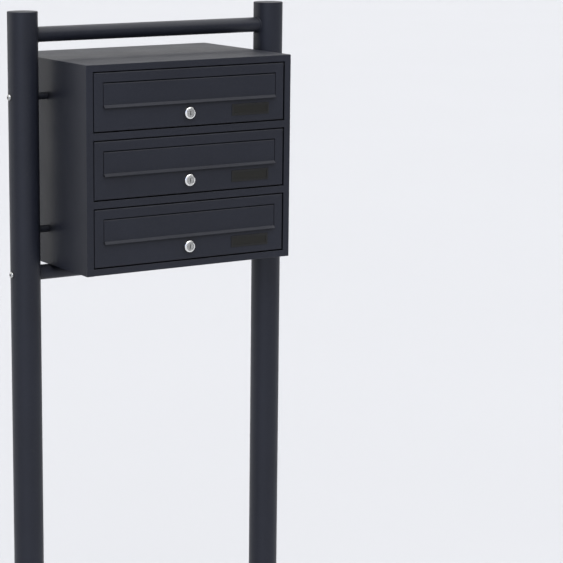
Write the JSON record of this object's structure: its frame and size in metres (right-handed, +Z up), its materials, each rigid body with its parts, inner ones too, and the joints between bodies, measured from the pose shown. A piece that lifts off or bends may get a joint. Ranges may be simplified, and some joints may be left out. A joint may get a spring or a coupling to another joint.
{
  "type": "letter box bank",
  "caption": "Free-standing bank of stacked horizontal letter boxes between two round posts, each with a flap, a cam-locked door and a name plate.",
  "frame": {"origin": "on the ground, midway between the two posts, in the plane of the post axes", "axes": "+Z up along the posts, -Y towards the doors at the front, +X to the right of someone facing the doors"},
  "size_m": [0.621, 0.28, 1.5],
  "materials": {
    "powder_coat": "fine-textured matt powder coat, anthracite",
    "stainless_steel": "plain stainless",
    "zinc_steel": "bright zinc plate",
    "lock_chrome": "bright nickel-chrome plate",
    "satin_nickel": "satin nickel plate",
    "rubber": "matt",
    "black_plastic": "fine matt grain",
    "plate_window": "smooth clear acrylic over a dark tray"
  },
  "bodies": {
    "frame": {"post_left": "powder_coat", "post_right": "powder_coat", "post_cap_left": "powder_coat", "post_cap_right": "powder_coat", "base_plate_left": "powder_coat", "base_plate_right": "powder_coat", "top_bar": "powder_coat", "low_bar": "powder_coat", "standoff_spacers": "powder_coat", "casing_shell": "powder_coat", "casing_floor": "powder_coat", "shelf_upper": "powder_coat", "shelf_lower": "powder_coat", "back_panel": "powder_coat", "standoff_through_bolts": "stainless_steel", "standoff_short_bolts": "stainless_steel", "low_bar_bolts": "stainless_steel", "floor_bolts": "stainless_steel", "standoff_nuts": "stainless_steel", "low_bar_plugs": "zinc_steel", "post_rivet_nuts": "zinc_steel", "bar_rivet_nuts": "zinc_steel", "door_buffers": "rubber"},
    "door_1": {"door_1_panel": "powder_coat", "door_1_hinge_pins": "stainless_steel", "flap_1_rod": "stainless_steel", "flap_1_buffers": "rubber", "lock_1_housing": "lock_chrome", "lock_1_nut": "zinc_steel", "nameplate_1_holder": "black_plastic", "nameplate_1_window": "plate_window"},
    "flap_1_leaf": {"flap_1": "powder_coat"},
    "lock_1_core": {"lock_1_plug": "satin_nickel", "lock_1_cam": "zinc_steel", "lock_1_cam_screw": "zinc_steel"},
    "door_2": {"door_2_panel": "powder_coat", "door_2_hinge_pins": "stainless_steel", "flap_2_rod": "stainless_steel", "flap_2_buffers": "rubber", "lock_2_housing": "lock_chrome", "lock_2_nut": "zinc_steel", "nameplate_2_holder": "black_plastic", "nameplate_2_window": "plate_window"},
    "flap_2_leaf": {"flap_2": "powder_coat"},
    "lock_2_core": {"lock_2_plug": "satin_nickel", "lock_2_cam": "zinc_steel", "lock_2_cam_screw": "zinc_steel"},
    "door_3": {"door_3_panel": "powder_coat", "door_3_hinge_pins": "stainless_steel", "flap_3_rod": "stainless_steel", "flap_3_buffers": "rubber", "lock_3_housing": "lock_chrome", "lock_3_nut": "zinc_steel", "nameplate_3_holder": "black_plastic", "nameplate_3_window": "plate_window"},
    "flap_3_leaf": {"flap_3": "powder_coat"},
    "lock_3_core": {"lock_3_plug": "satin_nickel", "lock_3_cam": "zinc_steel", "lock_3_cam_screw": "zinc_steel"}
  },
  "joints": [
    {"name": "door_1_hinge", "type": "hinge", "parent": "frame", "child": "door_1", "pos_m": [0, -0.133, 1.405], "axis": [-1, 0, 0], "range_deg": [0, 100]},
    {"name": "flap_1_hinge", "type": "hinge", "parent": "door_1", "child": "flap_1_leaf", "pos_m": [0, -0.1345, 1.3895], "axis": [-1, 0, 0], "range_deg": [0, 80]},
    {"name": "lock_1_turn", "type": "hinge", "parent": "door_1", "child": "lock_1_core", "pos_m": [-0.0035, -0.1375, 1.336], "axis": [0, 1, 0], "range_deg": [0, 90]},
    {"name": "door_2_hinge", "type": "hinge", "parent": "frame", "child": "door_2", "pos_m": [0, -0.133, 1.295], "axis": [-1, 0, 0], "range_deg": [0, 100]},
    {"name": "flap_2_hinge", "type": "hinge", "parent": "door_2", "child": "flap_2_leaf", "pos_m": [0, -0.1345, 1.2795], "axis": [-1, 0, 0], "range_deg": [0, 80]},
    {"name": "lock_2_turn", "type": "hinge", "parent": "door_2", "child": "lock_2_core", "pos_m": [-0.0035, -0.1375, 1.226], "axis": [0, 1, 0], "range_deg": [0, 90]},
    {"name": "door_3_hinge", "type": "hinge", "parent": "frame", "child": "door_3", "pos_m": [0, -0.133, 1.185], "axis": [-1, 0, 0], "range_deg": [0, 100]},
    {"name": "flap_3_hinge", "type": "hinge", "parent": "door_3", "child": "flap_3_leaf", "pos_m": [0, -0.1345, 1.1695], "axis": [-1, 0, 0], "range_deg": [0, 80]},
    {"name": "lock_3_turn", "type": "hinge", "parent": "door_3", "child": "lock_3_core", "pos_m": [-0.0035, -0.1375, 1.116], "axis": [0, 1, 0], "range_deg": [0, 90]}
  ]
}
